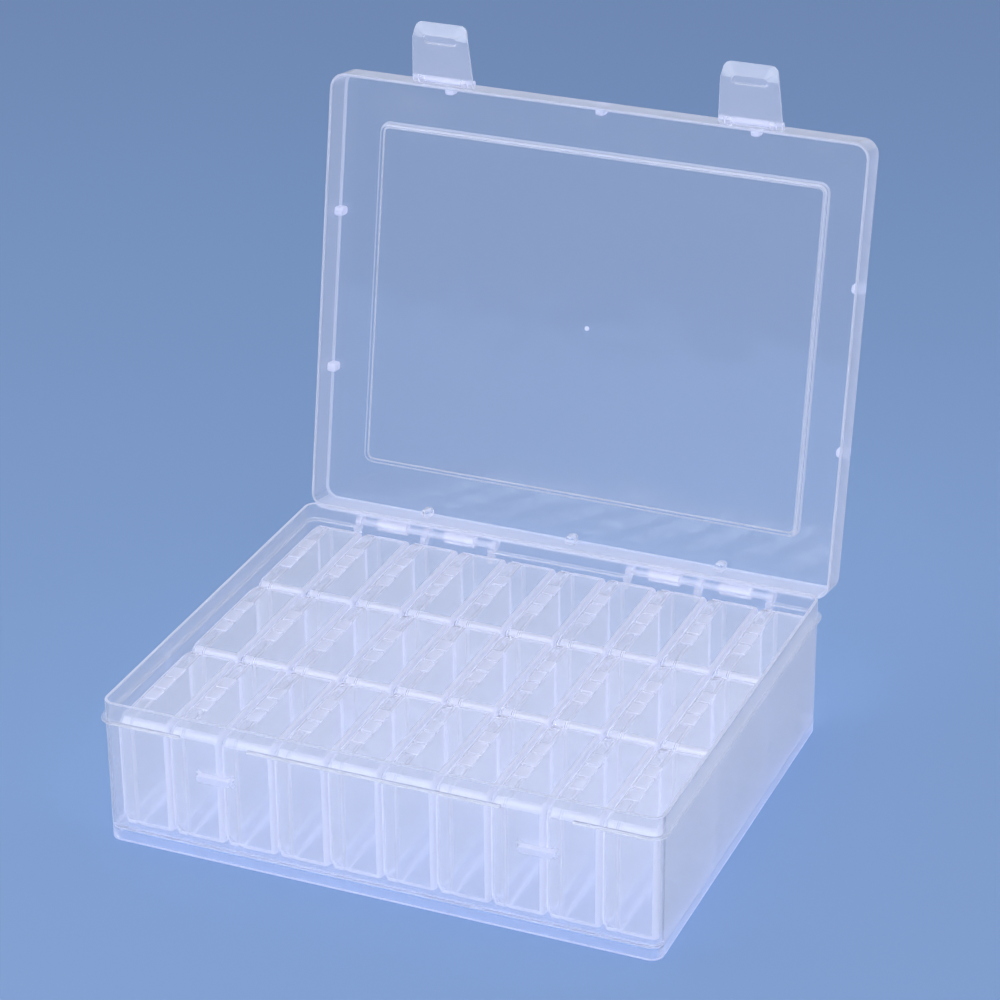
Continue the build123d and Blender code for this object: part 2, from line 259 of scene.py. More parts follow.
def math_node(operation, first, second):
    """A sum of two numbers or outputs in the look's group."""
    node = look.nodes.new("ShaderNodeMath")
    node.operation = operation
    for socket, value in zip(node.inputs, (first, second)):
        if isinstance(value, (int, float)):
            socket.default_value = value
        else:
            look.links.new(value, socket)
    return node.outputs[0]


clouds = noise(22.0, 3.0)
rub_marks = noise(160.0, 6.0, (1.0, 0.12, 1.0))
waves = noise(30.0, 1.0)
grain = noise(900.0, 2.0)
tint = look.nodes.new("ShaderNodeMix")
tint.data_type = "RGBA"
look.links.new(clouds, tint.inputs["Factor"])
look.links.new(look_in.outputs["Milk"], tint.inputs["A"])
look.links.new(look_in.outputs["Cloud"], tint.inputs["B"])
look.links.new(tint.outputs["Result"], look_out.inputs["Color"])
rubbed = math_node("MULTIPLY", math_node("POWER", rub_marks, 5.0), 0.12)
look.links.new(math_node("ADD", look_in.outputs["Roughness"], rubbed), look_out.inputs["Roughness"])
look.links.new(math_node("ADD", waves, math_node("MULTIPLY", grain, 0.01)), look_out.inputs["Height"])


def clear_plastic(name, roughness, haze, edge_haze, rim_milk_and_highlight,
                  milk=(0.90, 0.895, 1.0), cloud=(0.83, 0.855, 1.0)):
    """Clear plastic that bends light, with some milk in it: haze everywhere, edge_haze where the eye looks
    along the surface and through more of it, and, times the white of a face, a share that is partly milk and
    partly painted highlight on rounded edges, rims and corners."""
    material = bpy.data.materials.new(name)
    material.use_nodes = True
    nodes, links = material.node_tree.nodes, material.node_tree.links
    glass = nodes["Principled BSDF"]
    glass.inputs["IOR"].default_value = 1.49
    glass.inputs["Metallic"].default_value = 0.0
    glass.inputs["Transmission Weight"].default_value = 1.0
    glass.inputs["Base Color"].default_value = (0.985, 0.99, 1.0, 1)
    surface = nodes.new("ShaderNodeGroup")
    surface.node_tree = look
    surface.inputs["Milk"].default_value = (*milk, 1)
    surface.inputs["Cloud"].default_value = (*cloud, 1)
    surface.inputs["Roughness"].default_value = roughness
    bump = nodes.new("ShaderNodeBump")
    bump.inputs["Distance"].default_value = 0.0004
    links.new(surface.outputs["Roughness"], glass.inputs["Roughness"])
    links.new(surface.outputs["Height"], bump.inputs["Height"])
    links.new(bump.outputs["Normal"], glass.inputs["Normal"])
    front, through, milky = (nodes.new("ShaderNodeBsdfDiffuse"), nodes.new("ShaderNodeBsdfTranslucent"),
                             nodes.new("ShaderNodeMixShader"))
    links.new(surface.outputs["Color"], front.inputs["Color"])
    links.new(surface.outputs["Color"], through.inputs["Color"])
    links.new(front.outputs[0], milky.inputs[1])
    links.new(through.outputs[0], milky.inputs[2])
    slant = nodes.new("ShaderNodeLayerWeight")
    slant.inputs["Blend"].default_value = 0.5
    steep, amount = nodes.new("ShaderNodeMath"), nodes.new("ShaderNodeMath")
    steep.operation, amount.operation = "POWER", "MULTIPLY_ADD"
    steep.inputs[1].default_value = 3.0
    amount.inputs[1].default_value = edge_haze
    amount.inputs[2].default_value = haze
    links.new(slant.outputs["Facing"], steep.inputs[0])
    links.new(steep.outputs[0], amount.inputs[0])
    # The white set on each face: milk, and painted highlights on rounded edges, rims and corners.
    rim, rim_amount = nodes.new("ShaderNodeAttribute"), nodes.new("ShaderNodeMath")
    rim.attribute_name = "milk_and_highlight"
    rim_amount.operation = "MULTIPLY_ADD"
    rim_amount.use_clamp = True
    rim_amount.inputs[1].default_value = rim_milk_and_highlight
    links.new(rim.outputs["Fac"], rim_amount.inputs[0])
    links.new(amount.outputs[0], rim_amount.inputs[2])
    body = nodes.new("ShaderNodeMixShader")
    links.new(rim_amount.outputs[0], body.inputs[0])
    links.new(glass.outputs[0], body.inputs[1])
    links.new(milky.outputs[0], body.inputs[2])
    # Lamps shine through: a shadow ray meets a clear film instead of the glass.
    film = nodes.new("ShaderNodeBsdfTransparent")
    film.inputs["Color"].default_value = (0.99, 0.995, 1.0, 1)
    ray = nodes.new("ShaderNodeLightPath")
    either = nodes.new("ShaderNodeMixShader")
    links.new(ray.outputs["Is Shadow Ray"], either.inputs[0])
    links.new(body.outputs[0], either.inputs[1])
    links.new(film.outputs[0], either.inputs[2])
    links.new(either.outputs[0], nodes["Material Output"].inputs["Surface"])
    return material


case_plastic = clear_plastic("case_plastic", roughness=0.19, haze=0.14, edge_haze=0.55, rim_milk_and_highlight=0.38)

case = new_mesh()
inside = (CASE_W - 2 * WALL, CASE_D - 2 * WALL, CASE_R - WALL)
outside = (CASE_W, CASE_D, CASE_R)
foot_inside = (CASE_W - 2 * FOOT_W, CASE_D - 2 * FOOT_W, CASE_R - FOOT_W)
rings = skin(case, [
    (*inside, FLOOR_TOP), (*inside, RIM_Z), (*outside, RIM_Z),
    (*outside, LEDGE_TOP), (*outside, LEDGE_TOP - LEDGE_T),
    (*outside, FLOOR_TOP - FLOOR_T), (*outside, FOOT_EDGE), (*outside, 0),
    (*foot_inside, 0), (*foot_inside, FLOOR_TOP - FLOOR_T)])
floor_ring, rim_in, rim_out, ledge_high, ledge_low, foot_high, _, foot_out, foot_in, under_ring = rings
wall_front = [f for e in ledge_low for f in e.link_faces
              if f.calc_area() > 0.01 and within(f, 1, -CASE_D, -CASE_D / 2 + 1e-5)]

band = [f for e in ledge_high for f in e.link_faces if set(f.edges) & set(ledge_low)]
ledge_gaps = [(side * centre, half, wall) for side in (-1, 1) for centre, half, wall in
              ((LATCH_SPREAD, LATCH_GAP_W / 2, -1), (HINGE_SPREAD, HINGE_ZONE_W / 2, 1))]
for centre, half, wall in ledge_gaps:
    here = [f for f in band if abs(f.calc_center_median().y - wall * CASE_D / 2) < 1e-5]
    rest = [f for f in band if f not in here]
    ends = [((centre - half, 0, 0), (1, 0, 0)), ((centre + half, 0, 0), (1, 0, 0))]
    band = rest + cut(case, here, ends)


def in_gap(face):
    """Whether a face of the ledge's band lies where a latch or a hinge passes."""
    middle = face.calc_center_median()
    return any(abs(middle.y - wall * CASE_D / 2) < 1e-5 and abs(middle.x - centre) < half
               for centre, half, wall in ledge_gaps)


ledge = [f for f in band if not in_gap(f)]
bmesh.ops.inset_region(case, faces=ledge, thickness=0.0, depth=LEDGE_OUT, use_even_offset=True)
ledge_rim = {e for f in ledge for e in f.edges if sum(g in ledge for g in e.link_faces) == 1}

for side in (-1, 1):
    middle = side * LATCH_SPREAD
    wall_front = cut(case, wall_front, [((middle - CATCH_W / 2, 0, 0), (1, 0, 0)),
                                        ((middle + CATCH_W / 2, 0, 0), (1, 0, 0))])
wall_front = cut(case, wall_front, [((0, 0, CATCH_Z - CATCH_H / 2), (0, 0, 1)),
                                    ((0, 0, CATCH_Z + CATCH_H / 2), (0, 0, 1))])
bars = [f for f in wall_front if abs(abs(f.calc_center_median().x) - LATCH_SPREAD) < CATCH_W / 2
        and within(f, 2, CATCH_Z - CATCH_H / 2, CATCH_Z + CATCH_H / 2)]
bmesh.ops.inset_region(case, faces=bars, thickness=0.0, depth=CATCH_OUT)
whiten(case, [g for f in bars for e in f.edges for g in e.link_faces if g.calc_area() < 1e-4], BAR_WHITE)
bar_sides = {e for f in bars for v in f.verts for e in v.link_edges
             if abs(e.verts[0].co.y - e.verts[1].co.y) > MM}
round_edges(case, list(bar_sides), 1.4 * MM, white=BAR_WHITE)
bar_fronts = {e for f in case.faces for e in f.edges
              if within(f, 1, -CASE_D, -CASE_D / 2 - CATCH_OUT + 0.1 * MM)}
round_edges(case, list(bar_fronts), 0.5 * MM, 2, BAR_WHITE)
round_edges(case, list(ledge_rim), 0.35 * MM, 2, LEDGE_WHITE)
round_edges(case, floor_ring, 1.2 * MM)
# Painted highlight: the rim's top face and rounded edges drawn as white lines.
rim_top = [f for e in rim_in for f in e.link_faces if within(f, 2, RIM_Z - 0.1 * MM, RIM_Z + 0.1 * MM)]
whiten(case, rim_top, RIM_TOP_HIGHLIGHT)
round_edges(case, rim_in + rim_out, 0.4 * MM, 2, RIM_EDGE_HIGHLIGHT)
foot_band = [f for e in foot_high for f in e.link_faces if within(f, 2, 0, FLOOR_TOP - FLOOR_T)]
whiten(case, foot_band, FOOT_WHITE)
# Painted highlight: the foot's bottom edge drawn as a white line, though it faces down into shade.
whiten(case, [f for e in foot_out for f in e.link_faces], FOOT_EDGE_HIGHLIGHT)
round_edges(case, foot_out, 0.3 * MM, 2, FOOT_EDGE_HIGHLIGHT)
round_edges(case, foot_in + under_ring, 0.4 * MM, 2)
piece(case, "case_lower_half", case_plastic, "case", "case", "case_base")


# Hinge, moulded with the case. Each half of it is three ears that stand out from the back wall
# and a rod between them, which the lid's hooks snap over. The slanted heel of each ear stops the
# open lid.

HINGE_Y, HINGE_Z = 113.9 * MM, 63.8 * MM
EAR_W, ROD_R = 3.0 * MM, 1.5 * MM
EAR = [(-4.95, -0.4), (-2.6, -0.4), (-2.6, 2.6), (4.39, 1.87), (3.79, -1.55), (0.0, -2.6), (-4.95, -8.2)]
EAR_ROUNDS = [(2, 2.5), (3, 0.6), (4, 0.8), (5, 1.2)]


def profile(bm, points, rounds, x, width, origin):
    """A flat shape given by its points in Y and Z, some of its corners rounded, and given a width
    along X. Gives back its faces."""
    before = set(bm.faces)
    verts = [bm.verts.new((x - width / 2, origin[0] + y * MM, origin[1] + z * MM)) for y, z in points]
    bm.faces.new(verts)
    for index, radius in rounds:
        bmesh.ops.bevel(bm, geom=[verts[index]], affect="VERTICES", offset=radius * MM,
                        offset_type="OFFSET", segments=5, profile=0.5, material=-1)
    face = next(f for f in bm.faces if f not in before)
    moved = bmesh.ops.extrude_face_region(bm, geom=[face], use_keep_orig=True)["geom"]
    bmesh.ops.translate(bm, vec=(width, 0, 0), verts=[v for v in moved if isinstance(v, bmesh.types.BMVert)])
    return [f for f in bm.faces if f not in before]


def soften(bm, faces, radius, steps=2, white=1.0):
    """Rounds the edges where the faces of a block meet at more than 50 degrees."""
    bmesh.ops.recalc_face_normals(bm, faces=faces)
    sharp = {e for f in faces for e in f.edges if e.calc_face_angle(0) > math.radians(50)}
    round_edges(bm, list(sharp), radius, steps, white)


def rod(bm, x, y, z, radius, length, sides=20):
    """A round bar along X with slightly rounded ends."""
    across = Matrix.Translation((x, y, z)) @ Matrix.Rotation(math.pi / 2, 4, "Y")
    made = bmesh.ops.create_cone(bm, cap_ends=True, segments=sides, radius1=radius, radius2=radius,
                                 depth=length, matrix=across)["verts"]
    rims = {e for v in made for e in v.link_edges if abs(e.verts[0].co.x - e.verts[1].co.x) < 1e-7}
    round_edges(bm, list(rims), radius * 0.12, 2)


fitting_plastic = clear_plastic("fitting_plastic", roughness=0.16, haze=0.3, edge_haze=0.4, rim_milk_and_highlight=0.1,
                                milk=(0.90, 0.885, 1.0), cloud=(0.83, 0.845, 1.0))

hinge = new_mesh()
ear_places = [side * HINGE_SPREAD + step * (HINGE_ZONE_W - EAR_W) / 2
              for side in (-1, 1) for step in (-1, 0, 1)]
for x in ear_places:
    soften(hinge, profile(hinge, EAR, EAR_ROUNDS, x, EAR_W, (HINGE_Y, HINGE_Z)), 0.25 * MM, white=0.2)
for side in (-1, 1):
    rod(hinge, side * HINGE_SPREAD, HINGE_Y, HINGE_Z, ROD_R, HINGE_ZONE_W - EAR_W)
piece(hinge, "case_hinge_ears_and_rods", fitting_plastic, "case", "case")


# Lid. One moulding in the same clear plastic: a skirt that drops over the case's rim, a rounded
# top edge, and a flat panel stepped inward to stiffen it. It is shaped shut and then swung open
# about the hinge rods.

LID_W, LID_D, LID_R = 274 * MM, 222 * MM, 7.8 * MM
EDGE_Z, LID_TOP, PLATE_T, PANEL_DROP = 63.7 * MM, 80.7 * MM, 1.5 * MM, 3.0 * MM
PANEL_W, PANEL_D, PANEL_R = LID_W - 47.6 * MM, LID_D - 52 * MM, 3.0 * MM
SKIRT_WHITE, SKIRT_BACK_WHITE, SKIRT_EDGE_WHITE, STUB_WHITE = 0.25, 0.9, 1.2, 2.4
LID_OPEN = 100

lid_plastic = clear_plastic("lid_plastic", roughness=0.05, haze=0.10, edge_haze=0.55, rim_milk_and_highlight=0.38)


def turn_about(bm, y, z, degrees, verts=None):
    """Turns a mesh, or some of it, about a line along X."""
    bmesh.ops.rotate(bm, cent=(0, y, z), matrix=Matrix.Rotation(math.radians(degrees), 3, "X"),
                     verts=verts or bm.verts)


def swing_open(bm):
    """Turns what was shaped with the lid shut to where the open lid holds it."""
    turn_about(bm, HINGE_Y, HINGE_Z, -LID_OPEN)


lid = new_mesh()
panel_top = (PANEL_W, PANEL_D, PANEL_R)
skirt_out = (LID_W, LID_D, LID_R)
skirt_in = (LID_W - 2 * WALL, LID_D - 2 * WALL, LID_R - WALL)
panel_under = (PANEL_W + 2 * PLATE_T, PANEL_D + 2 * PLATE_T, PANEL_R + PLATE_T)
panel_floor, panel_edge, top_edge, free_out, free_in, corner_in, step_in, step_under = skin(lid, [
    (*panel_top, LID_TOP - PANEL_DROP), (*panel_top, LID_TOP), (*skirt_out, LID_TOP),
    (*skirt_out, EDGE_Z), (*skirt_in, EDGE_Z), (*skirt_in, LID_TOP - PLATE_T),
    (*panel_under, LID_TOP - PLATE_T), (*panel_under, LID_TOP - PLATE_T - PANEL_DROP)])
skirt = [f for e in free_out + free_in for f in e.link_faces]
whiten(lid, skirt, SKIRT_WHITE)
whiten(lid, [f for f in skirt if f.calc_center_median().y > LID_D / 2 - 2 * WALL], SKIRT_BACK_WHITE)
skirt_edge = [f for f in skirt if within(f, 2, EDGE_Z - 0.1 * MM, EDGE_Z + 0.1 * MM)]
whiten(lid, skirt_edge, SKIRT_EDGE_WHITE)
round_edges(lid, top_edge, 2.2 * MM, 5)
round_edges(lid, corner_in, 1.0 * MM)
round_edges(lid, panel_floor + panel_edge, 0.8 * MM)
round_edges(lid, step_in + step_under, 0.9 * MM)
round_edges(lid, free_out + free_in, 0.4 * MM, 2)

# The stub left in the middle of the panel where the plastic came in.
stub_place = Matrix.Translation((0, 0, LID_TOP - PANEL_DROP - 0.1 * MM))
stub = bmesh.ops.create_cone(lid, cap_ends=True, segments=16, radius1=1.2 * MM, radius2=1.0 * MM,
                             depth=1.0 * MM, matrix=stub_place)["verts"]
whiten(lid, {f for v in stub for f in v.link_faces}, STUB_WHITE)
swing_open(lid)
piece(lid, "lid_shell", lid_plastic, "lid", "lid", "case_lid")


# Stops, hooks and latch ears, all moulded with the lid. Ten small blocks in the corner of plate
# and skirt rest on the case's rim, four open rings snap over the hinge rods, and two pairs of
# ears carry the rods that the latches turn on.

STOP_W, STOP_REACH, STOP_LOW, STOP_ROUND, STOP_WHITE = 4.5 * MM, 5.1 * MM, 72.8 * MM, 1.5 * MM, 1.6
SIDE_STOP_Y = 40 * MM
HOOK_W, HOOK_OUT, HOOK_IN, HOOK_MOUTH, HOOK_TURN = 16 * MM, 2.9 * MM, 1.58 * MM, 64, -60
HOOK_ARM = [(-2.95, 0.9), (-2.75, 0.9), (-2.05, 2.05), (-0.9, 2.75), (-0.9, 3.1), (-2.3, 4.6), (-2.95, 5.0)]
LATCH_Y, LATCH_Z, LATCH_ROD_R = -113.28 * MM, 66.7 * MM, 1.0 * MM
LATCH_EAR = [(2.33, -1.0), (0.0, -1.6), (-1.6, -1.6), (-1.6, 1.6), (0.0, 1.6), (2.33, 2.0)]
LATCH_EAR_SPREAD, LATCH_EAR_W = 11 * MM, 2.6 * MM


def lid_stop(bm, width, depth, x, y, white=STOP_WHITE):
    """A rounded block between the skirt and the underside of the lid."""
    before = set(bm.faces)
    high = LID_TOP - PLATE_T / 2
    size = Matrix.Diagonal((width, depth, high - STOP_LOW, 1))
    bmesh.ops.create_cube(bm, size=1.0, matrix=Matrix.Translation((x, y, (STOP_LOW + high) / 2)) @ size)
    made = [f for f in bm.faces if f not in before]
    whiten(bm, made, white)
    soften(bm, made, STOP_ROUND, 3, white)


stops = new_mesh()
across, along = (LID_W - WALL - STOP_REACH) / 2, (LID_D - WALL - STOP_REACH) / 2
for x in (-LATCH_SPREAD, 0, LATCH_SPREAD):
    lid_stop(stops, STOP_W, STOP_REACH, x, -along)
    lid_stop(stops, STOP_W, STOP_REACH, x, along, white=0.0)
for x in (-across, across):
    for y in (-SIDE_STOP_Y, SIDE_STOP_Y):
        lid_stop(stops, STOP_REACH, STOP_W, x, y)
swing_open(stops)
piece(stops, "lid_stops", lid_plastic, "lid", "lid")

fittings = new_mesh()
for x in [(a + b) / 2 for a, b in zip(ear_places, ear_places[1:]) if b - a < HINGE_ZONE_W / 2]:
    first = math.radians(HOOK_TURN + HOOK_MOUTH / 2)
    end_shape = [(-1, HOOK_IN), (1, HOOK_IN), (1, HOOK_OUT), (-1, HOOK_OUT)]
    start = fittings.faces.new([
        fittings.verts.new((x + s * HOOK_W / 2, HINGE_Y + r * math.cos(first), HINGE_Z + r * math.sin(first)))
        for s, r in end_shape])
    bmesh.ops.spin(fittings, geom=[start, *start.edges, *start.verts], cent=(0, HINGE_Y, HINGE_Z),
                   axis=(1, 0, 0), angle=math.radians(360 - HOOK_MOUTH), steps=26, use_duplicate=False)
    soften(fittings, profile(fittings, HOOK_ARM, [], x, HOOK_W, (HINGE_Y, HINGE_Z)), 0.2 * MM)

for side in (-1, 1):
    middle = side * LATCH_SPREAD
    for end in (-1, 1):
        ear = profile(fittings, LATCH_EAR, [(2, 1.5), (3, 1.5)], middle + end * LATCH_EAR_SPREAD,
                      LATCH_EAR_W, (LATCH_Y, LATCH_Z))
        soften(fittings, ear, 0.25 * MM)
    rod(fittings, middle, LATCH_Y, LATCH_Z, LATCH_ROD_R, 2 * LATCH_EAR_SPREAD)
swing_open(fittings)
piece(fittings, "lid_hooks_and_latch_ears", fitting_plastic, "lid", "lid")


# Latches, two, each one moulding in a milkier plastic: a tapered plate that turns on a barrel at
# its root, with a pocket pressed outward that takes the catch bar, and a tip bent away from the
# case for a fingertip.

PLATE_IN, LATCH_T = -111.3 * MM, 1.4 * MM
BEND_DOWN, BEND_START, TAB_TURN = 22.8, 1.45, 25
LATCH_SHUT = 73
POCKET_W, POCKET_H, POCKET_DOWN, POCKET_DEEP, POCKET_SKIN = 17.3, 4.1, 22.1, 1.25, 0.9
DRAFT_IN, DRAFT_OUT = 0.5, 1.2
BARREL_BORE, BARREL_R, BARREL_W = 1.08 * MM, 1.98 * MM, 18.8 * MM
BARREL_END_X, BARREL_END_W = 14.175 * MM, 3.15 * MM
LATCH_SHAPE = [(-15.75, -0.7), (-12.6, -0.7), (-12.6, -2.3), (-9.4, -2.3), (-9.4, -0.7),
               (9.4, -0.7), (9.4, -2.3), (12.6, -2.3), (12.6, -0.7), (15.75, -0.7), (15.7, -1.0),
               (14.25, -22.8), (12.7, -30.4), (-12.7, -30.4), (-14.25, -22.8), (-15.7, -1.0)]
TIP_CORNERS = (12, 13)

latch_plastic = clear_plastic("latch_plastic", roughness=0.1, haze=0.32, edge_haze=0.6, rim_milk_and_highlight=0.7)


def loop(bm, points, y, rounds=()):
    """A closed line through points given in X and Z, in the plane at y, some corners rounded."""
    before = set(bm.faces)
    verts = [bm.verts.new((x * MM, y, z * MM)) for x, z in points]
    bm.faces.new(verts)
    for index, radius in rounds:
        bmesh.ops.bevel(bm, geom=[verts[index]], affect="VERTICES", offset=radius * MM,
                        offset_type="OFFSET", segments=6, profile=0.5, material=-1)
    face = next(f for f in bm.faces if f not in before)
    edges = list(face.edges)
    bmesh.ops.delete(bm, geom=[face], context="FACES_ONLY")
    return edges


def pill(bm, width, height, middle, y):
    """A loop with half-round ends."""
    w, h = width / 2, height / 2
    points = [(-w, middle - h), (w, middle - h), (w, middle + h), (-w, middle + h)]
    return loop(bm, points, y, [(index, h * 0.98) for index in range(4)])


def tube(bm, y, z, bore, radius, length):
    """A barrel along X with a bore through it."""
    corners = [bm.verts.new((x, y + r, z)) for x, r in
               ((-length / 2, bore), (length / 2, bore), (length / 2, radius), (-length / 2, radius))]
    edges = [bm.edges.new((a, b)) for a, b in zip(corners, corners[1:] + corners[:1])]
    bmesh.ops.spin(bm, geom=corners + edges, cent=(0, y, z), axis=(1, 0, 0), angle=2 * math.pi, steps=24,
                   use_merge=True, use_duplicate=False)


for side, name in ((-1, "latch_left"), (1, "latch_right")):
    latch = new_mesh()
    tips = [(index, 3.0) for index in TIP_CORNERS]
    shape_in, shape_out = (loop(latch, LATCH_SHAPE, y, tips) for y in (0.0, -LATCH_T))
    hole_in = pill(latch, POCKET_W, POCKET_H, -POCKET_DOWN, 0.0)
    floor_in = pill(latch, POCKET_W - DRAFT_IN, POCKET_H - DRAFT_IN, -POCKET_DOWN, -POCKET_DEEP * MM)
    wide, tall = POCKET_W + 2 * POCKET_SKIN, POCKET_H + 2 * POCKET_SKIN
    hole_out = pill(latch, wide, tall, -POCKET_DOWN, -LATCH_T)
    floor_out = pill(latch, wide - DRAFT_OUT, tall - DRAFT_OUT, -POCKET_DOWN,
                     -(POCKET_DEEP + POCKET_SKIN) * MM)
    for outer, hole in ((shape_in, hole_in), (shape_out, hole_out)):
        bmesh.ops.triangle_fill(latch, use_beauty=True, use_dissolve=False, edges=outer + hole)
    for first, second in ((shape_in, shape_out), (hole_in, floor_in), (hole_out, floor_out)):
        bmesh.ops.bridge_loops(latch, edges=first + second)
    for floor_loop in (floor_in, floor_out):
        bmesh.ops.edgeloop_fill(latch, edges=floor_loop)
    bmesh.ops.bisect_plane(latch, geom=[*latch.verts, *latch.edges, *latch.faces],
                           plane_co=(0, 0, -BEND_DOWN * MM), plane_no=(0, 0, 1))
    tab = [v for v in latch.verts if v.co.z < -(BEND_DOWN + BEND_START) * MM]
    turn_about(latch, 0, -BEND_DOWN * MM, -TAB_TURN, tab)
    bmesh.ops.translate(latch, vec=(0, PLATE_IN, LATCH_Z), verts=latch.verts)
    soften(latch, list(latch.faces), 0.3 * MM)
    tube(latch, LATCH_Y, LATCH_Z, BARREL_BORE, BARREL_R, BARREL_W)
    for x in (-BARREL_END_X, BARREL_END_X):
        rod(latch, x, LATCH_Y, LATCH_Z, BARREL_R, BARREL_END_W, 24)
    bmesh.ops.translate(latch, vec=(side * LATCH_SPREAD, 0, 0), verts=latch.verts)
    turn_about(latch, LATCH_Y, LATCH_Z, -LATCH_SHUT)
    swing_open(latch)
    piece(latch, name + "_plate", latch_plastic, name, "latch", name)


# Small flip boxes, thirty, moulded in the same clear plastic. Each stands on its hinge: a deep
# tray to the right and a shallow cap to the left meet in a plane, three clasp blocks on the
# cap's top edge snap over the tray, and round knuckles along the bottom are the hinge.

BOX_T, BOX_D, BOX_H, BOX_WALL = 25.7 * MM, 69.6 * MM, 56 * MM, 1.1 * MM
CAP_T, BOX_R, FACE_R = 7.6 * MM, 3.2 * MM, 7.0 * MM
CAP_SHOULDER, CAP_DRAFT, SEAM = 2.6 * MM, 0.7 * MM, 0.04 * MM
PITCH_X, PITCH_Y = 26.1 * MM, 70 * MM
FIRST_X, FIRST_Y, BOX_Z = -127.9 * MM, -72.0 * MM, 8.5 * MM
JOINT, JOINT_DEEP, HOLLOW_R = 1.1 * MM, 0.2 * MM, 1.0 * MM
KNUCKLE_R, CAP_KNUCKLE_W, TRAY_KNUCKLE_W, TRAY_KNUCKLE_Y = 1.2 * MM, 22 * MM, 9 * MM, 15.8 * MM
CLASP_LEFT, CLASP_RIGHT, CLASP_LIP, CLASP_GAP = 2.9 * MM, 6.5 * MM, 2.7 * MM, 0.08 * MM
CLASP_PARTS = [(-15 * MM, -6.4 * MM, 0.8 * MM), (-4.8 * MM, 4.6 * MM, 1.0 * MM),
               (6.2 * MM, 15 * MM, 0.85 * MM)]
# The corner, bottom, back and face whites paint highlights: bright bars on the long rounded corners, a light
# streak along the bottom of the joint, and white lines along the tray's back edge and the cap's face edge. The
# corners are also milkier where the plastic is thicker.
BAND_REACH, BAND_WHITE, JOINT_BOTTOM_HIGHLIGHT, CORNER_MILK_AND_HIGHLIGHT = 1.4 * MM, 0.5, 2.4, 1.8
BACK_WHITE, FLOOR_WHITE, FACE_EDGE_HIGHLIGHT, KNUCKLE_WHITE, CLASP_WHITE, CLASP_EDGE_WHITE = 1.8, 0.3, 2.6, 1.5, 0.6, 1.1

tray_plastic = clear_plastic("tray_plastic", roughness=0.05, haze=0.09, edge_haze=0.5, rim_milk_and_highlight=0.42)
cap_plastic = clear_plastic("cap_plastic", roughness=0.1, haze=0.17, edge_haze=0.55, rim_milk_and_highlight=0.45)

# Shapes are drawn lying down and stood up: width to Y, depth to Z and height to X.
STAND = Matrix(((0, 0, 1, 0), (1, 0, 0, 0), (0, 1, 0, BOX_H / 2), (0, 0, 0, 1)))


def knuckle(bm, y, width):
    """A round knuckle of the hinge, at the bottom of the joint of tray and cap."""
    across = Matrix.Translation((CAP_T, y, 0)) @ Matrix.Rotation(math.pi / 2, 4, "X")
    made = bmesh.ops.create_cone(bm, cap_ends=True, segments=16, radius1=KNUCKLE_R, radius2=KNUCKLE_R,
                                 depth=width, matrix=across)["verts"]
    whiten(bm, {f for v in made for f in v.link_faces}, KNUCKLE_WHITE)


def sized(margin, radius, height):
    """An outline of the small box, smaller by a margin all round."""
    return BOX_D - 2 * margin, BOX_H - 2 * margin, radius, height


def corners(bm):
    """The faces of the four long rounded corners that run across a small box."""
    return [f for f in bm.faces if abs(f.normal.x) < 0.1 and 0.15 < abs(f.normal.y) < 0.99]


def joint_band(bm):
    """The outer faces beside the joint of tray and cap."""
    return [f for f in bm.faces if abs(f.normal.x) < 0.8
            and within(f, 0, CAP_T - BAND_REACH, CAP_T + BAND_REACH)]


def joint_bottom(bm):
    """The part of the joint band that lies underneath."""
    return [f for f in joint_band(bm) if f.calc_center_median().z < 1 * MM]


def make_tray():
    """The tray, its back to the right, hollow and open at the joint."""
    bm = new_mesh()
    mouth = CAP_T + SEAM
    floor_in, mouth_in, mouth_out, *_, back = skin(bm, [
        sized(BOX_WALL, HOLLOW_R, BOX_T - BOX_WALL), sized(BOX_WALL, HOLLOW_R, mouth),
        sized(JOINT_DEEP, BOX_R, mouth), sized(JOINT_DEEP, BOX_R, mouth + JOINT),
        sized(0, BOX_R, mouth + JOINT + JOINT_DEEP), sized(0, BOX_R, BOX_T)], 5)
    # Painted highlight: the back edge drawn as a white line.
    round_edges(bm, back, 2.2 * MM, 4, BACK_WHITE)
    round_edges(bm, floor_in, 1.3 * MM, 3, FLOOR_WHITE)
    round_edges(bm, mouth_in + mouth_out, 0.22 * MM, 2)
    bmesh.ops.transform(bm, matrix=STAND, verts=bm.verts)
    bmesh.ops.recalc_face_normals(bm, faces=bm.faces)
    whiten(bm, joint_band(bm), BAND_WHITE)
    # Painted highlights: bars on the long corners, partly the milk of the thicker corner, and a light streak
    # along the joint's bottom.
    whiten(bm, corners(bm), CORNER_MILK_AND_HIGHLIGHT)
    whiten(bm, joint_bottom(bm), JOINT_BOTTOM_HIGHLIGHT)
    for side in (-1, 1):
        knuckle(bm, side * TRAY_KNUCKLE_Y, TRAY_KNUCKLE_W)
    return bm


